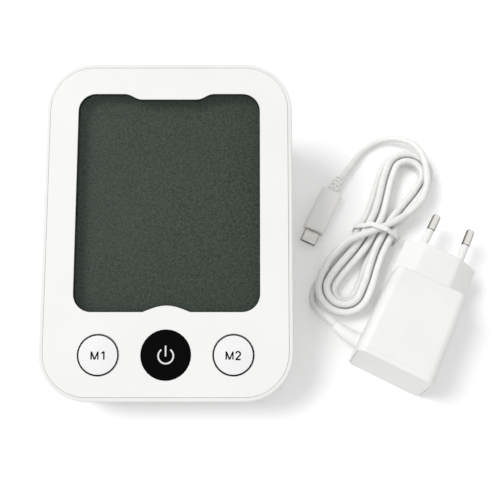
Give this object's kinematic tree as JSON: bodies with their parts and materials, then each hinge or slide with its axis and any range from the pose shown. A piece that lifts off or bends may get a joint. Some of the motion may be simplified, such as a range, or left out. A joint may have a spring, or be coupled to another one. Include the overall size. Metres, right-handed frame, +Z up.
{
  "type": "talking blood pressure monitor with mains adapter",
  "caption": "White desktop blood pressure monitor with a large dark display, round buttons on a sloping face, and a mains adapter with its tied cord and small plug beside it.",
  "frame": {"origin": "bottom centre of the monitor, on the plane that its rubber feet stand on", "axes": "+X to the user's right, +Y from the buttons towards the top of the display, +Z up"},
  "size_m": [0.2019, 0.1472, 0.0598],
  "materials": {
    "white_plastic": "fine satin moulding",
    "key_white": "smooth",
    "key_black": "smooth",
    "clear_lens": "clear tinted plastic window",
    "display_glass": "dark grey green display",
    "inner_black_plastic": "moulded",
    "grey_silicone": "soft matte",
    "circuit_board": "glass fibre board with solder mask",
    "steel": "plain",
    "pin_nickel": "nickel plated",
    "black_rubber": "matte",
    "cell_wrap": "plain film wrap",
    "air_hose": "translucent silicone",
    "wire_red": "wire insulation",
    "adapter_white": "fine satin moulding",
    "cord_white": "smooth cord jacket",
    "plug_grey": "soft moulding",
    "copper_tape": "wound core with tape"
  },
  "bodies": {
    "monitor": {"rear_shell": "white_plastic", "front_cover": "white_plastic", "display_window": "clear_lens", "display_panel": "display_glass", "display_frame": "inner_black_plastic", "contact_strip": "grey_silicone", "main_board": "circuit_board", "board_screw_left": "steel", "board_screw_right": "steel", "shell_screw_left": "steel", "shell_screw_right": "steel", "key_dome_m1": "grey_silicone", "key_dome_power": "grey_silicone", "key_dome_m2": "grey_silicone", "speaker": "inner_black_plastic", "pump_motor": "steel", "pump_head": "inner_black_plastic", "valve_body": "inner_black_plastic", "valve_spring": "steel", "pressure_sensor": "inner_black_plastic", "air_manifold": "air_hose", "hose_pump": "air_hose", "cuff_socket": "white_plastic", "usb_board": "circuit_board", "usb_inlet": "steel", "battery_cell_1": "cell_wrap", "battery_cell_2": "cell_wrap", "battery_cell_3": "cell_wrap", "battery_cell_4": "cell_wrap", "battery_contacts_front": "steel", "battery_contacts_back": "steel", "rubber_foot_front": "black_rubber", "rubber_foot_left": "black_rubber", "rubber_foot_right": "black_rubber", "speaker_and_valve_lead": "wire_red", "pump_lead": "wire_red", "battery_lead": "wire_red", "usb_lead": "wire_red"},
    "m1_key": {"button_m1": "key_white"},
    "power_key": {"button_power": "key_black"},
    "m2_key": {"button_m2": "key_white"},
    "bay_cover": {"battery_cover": "white_plastic"},
    "crank": {"pump_crank": "steel"},
    "plunger": {"valve_plunger": "steel"},
    "adapter": {"adapter_shell": "adapter_white", "adapter_end_cap": "adapter_white", "plug_block": "adapter_white", "plug_pin_left": "pin_nickel", "plug_pin_right": "pin_nickel", "adapter_board": "circuit_board", "adapter_transformer": "copper_tape", "adapter_relief": "adapter_white", "cord_to_adapter": "cord_white", "cord_hank": "cord_white", "hank_tie": "cord_white", "cord_to_plug": "cord_white", "usb_plug_relief": "plug_grey", "usb_plug_body": "plug_grey", "usb_plug_shell": "pin_nickel", "usb_plug_insert": "inner_black_plastic"}
  },
  "joints": [
    {"name": "m1_press", "type": "slide", "parent": "monitor", "child": "m1_key", "axis": [0, 0.2504, -0.9681], "range_m": [0, 0.001], "stiffness_N_per_m": 400, "deforming": ["key_dome_m1"]},
    {"name": "power_press", "type": "slide", "parent": "monitor", "child": "power_key", "axis": [0, 0.2504, -0.9681], "range_m": [0, 0.001], "stiffness_N_per_m": 400, "deforming": ["key_dome_power"]},
    {"name": "m2_press", "type": "slide", "parent": "monitor", "child": "m2_key", "axis": [0, 0.2504, -0.9681], "range_m": [0, 0.001], "stiffness_N_per_m": 400, "deforming": ["key_dome_m2"]},
    {"name": "bay_cover_slide", "type": "slide", "parent": "monitor", "child": "bay_cover", "axis": [0, 1, 0], "range_m": [0, 0.06]},
    {"name": "crank_spin", "type": "hinge", "parent": "monitor", "child": "crank", "pos_m": [0, -0.00152, 0.0164], "axis": [1, 0, 0], "continuous": true},
    {"name": "plunger_pull", "type": "slide", "parent": "monitor", "child": "plunger", "axis": [1, 0, 0], "range_m": [0, 0.0008], "stiffness_N_per_m": 300, "deforming": ["valve_spring"]},
    {"name": "adapter_apart", "type": "slide", "parent": "monitor", "child": "adapter", "axis": [1, 0, 0], "range_m": [0, 0.15]}
  ]
}
